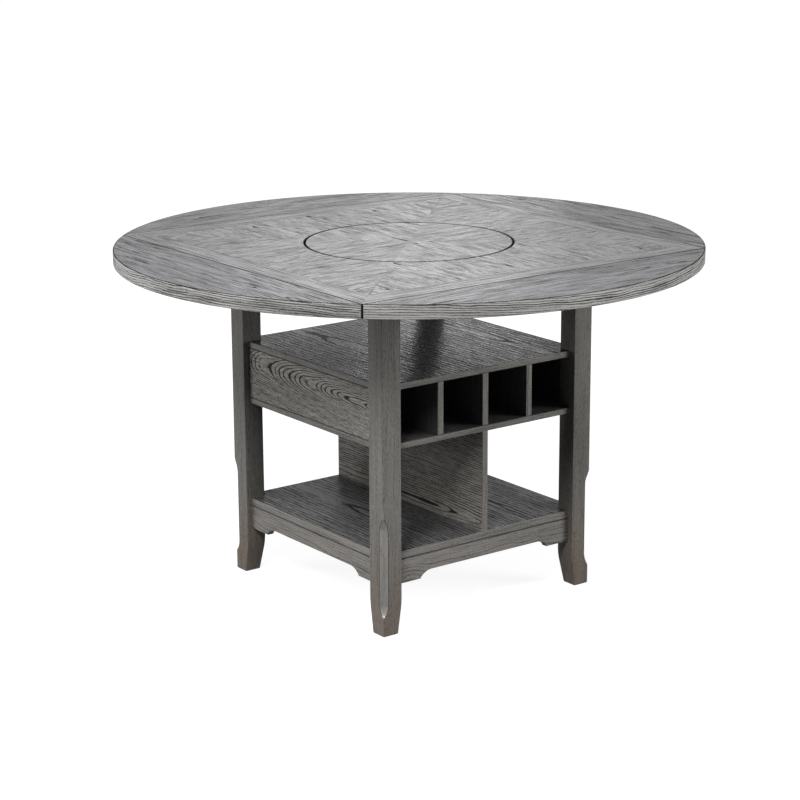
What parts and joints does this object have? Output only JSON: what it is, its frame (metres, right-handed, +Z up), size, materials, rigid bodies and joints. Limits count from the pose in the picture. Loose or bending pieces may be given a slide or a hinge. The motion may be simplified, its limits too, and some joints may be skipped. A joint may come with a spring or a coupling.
{
  "type": "dining table with lazy susan",
  "caption": "Round counter-height dining table with a flush lazy susan in a square centre panel, drop leaves, and a square base with a bottle rack, partition and shelves.",
  "frame": {"origin": "floor level at the centre of the table", "axes": "+Z up; the rack opens towards -Y and +Y, the rack's closed sides face -X and +X"},
  "size_m": [1.5238, 1.5238, 0.9144],
  "materials": {
    "wood": "grey-stained open-pore oak veneer, semi-gloss lacquer",
    "inner_wood": "plain hidden hardwood, unfinished",
    "steel": "black satin hinge and bearing steel",
    "zinc_steel": "zinc plated",
    "glide_plastic": "matt"
  },
  "bodies": {
    "table": {"bearing_lower_ring": "steel", "centre_panel": "wood", "corner_blocks": "inner_wood", "foot_glides": "glide_plastic", "hanger_bolts_and_nuts": "zinc_steel", "hinge_pins": "steel", "hinge_plates_fixed": "steel", "lazy_susan_board": "inner_wood", "leg_back_left": "wood", "leg_back_right": "wood", "leg_front_left": "wood", "leg_front_right": "wood", "lower_apron_back": "wood", "lower_apron_front": "wood", "lower_apron_left": "wood", "lower_apron_right": "wood", "lower_shelf": "wood", "partition": "wood", "rack_back": "wood", "rack_divider_left": "wood", "rack_divider_middle": "wood", "rack_divider_right": "wood", "rack_floor": "wood", "rack_side_left": "wood", "rack_side_right": "wood", "stay_plates_fixed": "steel", "top_rail_back": "wood", "top_rail_front": "wood", "top_rail_left": "wood", "top_rail_right": "wood", "upper_shelf": "wood", "wood_screws": "zinc_steel"},
    "leaf_front": {"leaf_front": "wood", "leaf_front_screws": "zinc_steel", "leaf_front_hinge_plates": "steel", "leaf_front_stay_plate": "steel"},
    "stay_front_arm": {"stay_front_arm": "steel"},
    "stay_front_link": {"stay_front_link": "steel"},
    "leaf_right": {"leaf_right": "wood", "leaf_right_screws": "zinc_steel", "leaf_right_hinge_plates": "steel", "leaf_right_stay_plate": "steel"},
    "stay_right_arm": {"stay_right_arm": "steel"},
    "stay_right_link": {"stay_right_link": "steel"},
    "leaf_back": {"leaf_back": "wood", "leaf_back_screws": "zinc_steel", "leaf_back_hinge_plates": "steel", "leaf_back_stay_plate": "steel"},
    "stay_back_arm": {"stay_back_arm": "steel"},
    "stay_back_link": {"stay_back_link": "steel"},
    "leaf_left": {"leaf_left": "wood", "leaf_left_screws": "zinc_steel", "leaf_left_hinge_plates": "steel", "leaf_left_stay_plate": "steel"},
    "stay_left_arm": {"stay_left_arm": "steel"},
    "stay_left_link": {"stay_left_link": "steel"},
    "lazy_susan": {"lazy_susan_disc": "wood", "bearing_upper_ring": "steel", "bearing_screws_upper": "zinc_steel"},
    "ball_ring": {"bearing_balls": "steel"}
  },
  "joints": [
    {"name": "leaf_front_drop", "type": "hinge", "parent": "table", "child": "leaf_front", "pos_m": [0, -0.539, 0.8751], "axis": [1, 0, 0], "range_deg": [0, 90]},
    {"name": "stay_front_arm_swing", "type": "hinge", "parent": "table", "child": "stay_front_arm", "pos_m": [0, -0.429, 0.8651], "axis": [1, 0, 0], "range_deg": [0, 90]},
    {"name": "stay_front_link_fold", "type": "hinge", "parent": "stay_front_arm", "child": "stay_front_link", "pos_m": [0, -0.539, 0.8551], "axis": [1, 0, 0], "range_deg": [-90, 0]},
    {"name": "leaf_right_drop", "type": "hinge", "parent": "table", "child": "leaf_right", "pos_m": [0.539, 0, 0.8751], "axis": [0, 1, 0], "range_deg": [0, 90]},
    {"name": "stay_right_arm_swing", "type": "hinge", "parent": "table", "child": "stay_right_arm", "pos_m": [0.429, 0, 0.8651], "axis": [0, 1, 0], "range_deg": [0, 90]},
    {"name": "stay_right_link_fold", "type": "hinge", "parent": "stay_right_arm", "child": "stay_right_link", "pos_m": [0.539, 0, 0.8551], "axis": [0, 1, 0], "range_deg": [-90, 0]},
    {"name": "leaf_back_drop", "type": "hinge", "parent": "table", "child": "leaf_back", "pos_m": [0, 0.539, 0.8751], "axis": [-1, 0, 0], "range_deg": [0, 90]},
    {"name": "stay_back_arm_swing", "type": "hinge", "parent": "table", "child": "stay_back_arm", "pos_m": [0, 0.429, 0.8651], "axis": [-1, 0, 0], "range_deg": [0, 90]},
    {"name": "stay_back_link_fold", "type": "hinge", "parent": "stay_back_arm", "child": "stay_back_link", "pos_m": [0, 0.539, 0.8551], "axis": [-1, 0, 0], "range_deg": [-90, 0]},
    {"name": "leaf_left_drop", "type": "hinge", "parent": "table", "child": "leaf_left", "pos_m": [-0.539, 0, 0.8751], "axis": [0, -1, 0], "range_deg": [0, 90]},
    {"name": "stay_left_arm_swing", "type": "hinge", "parent": "table", "child": "stay_left_arm", "pos_m": [-0.429, 0, 0.8651], "axis": [0, -1, 0], "range_deg": [0, 90]},
    {"name": "stay_left_link_fold", "type": "hinge", "parent": "stay_left_arm", "child": "stay_left_link", "pos_m": [-0.539, 0, 0.8551], "axis": [0, -1, 0], "range_deg": [-90, 0]},
    {"name": "lazy_susan_turn", "type": "hinge", "parent": "table", "child": "lazy_susan", "pos_m": [0, 0, 0.8844], "axis": [0, 0, 1], "continuous": true},
    {"name": "ball_ring_roll", "type": "hinge", "parent": "table", "child": "ball_ring", "pos_m": [0, 0, 0.8844], "axis": [0, 0, 1], "continuous": true}
  ],
  "couplings": [
    {"joint": "stay_front_arm_swing", "follows": "leaf_front_drop", "ratio": 1},
    {"joint": "stay_front_link_fold", "follows": "leaf_front_drop", "ratio": -1},
    {"joint": "stay_right_arm_swing", "follows": "leaf_right_drop", "ratio": 1},
    {"joint": "stay_right_link_fold", "follows": "leaf_right_drop", "ratio": -1},
    {"joint": "stay_back_arm_swing", "follows": "leaf_back_drop", "ratio": 1},
    {"joint": "stay_back_link_fold", "follows": "leaf_back_drop", "ratio": -1},
    {"joint": "stay_left_arm_swing", "follows": "leaf_left_drop", "ratio": 1},
    {"joint": "stay_left_link_fold", "follows": "leaf_left_drop", "ratio": -1},
    {"joint": "ball_ring_roll", "follows": "lazy_susan_turn", "ratio": 0.5}
  ]
}
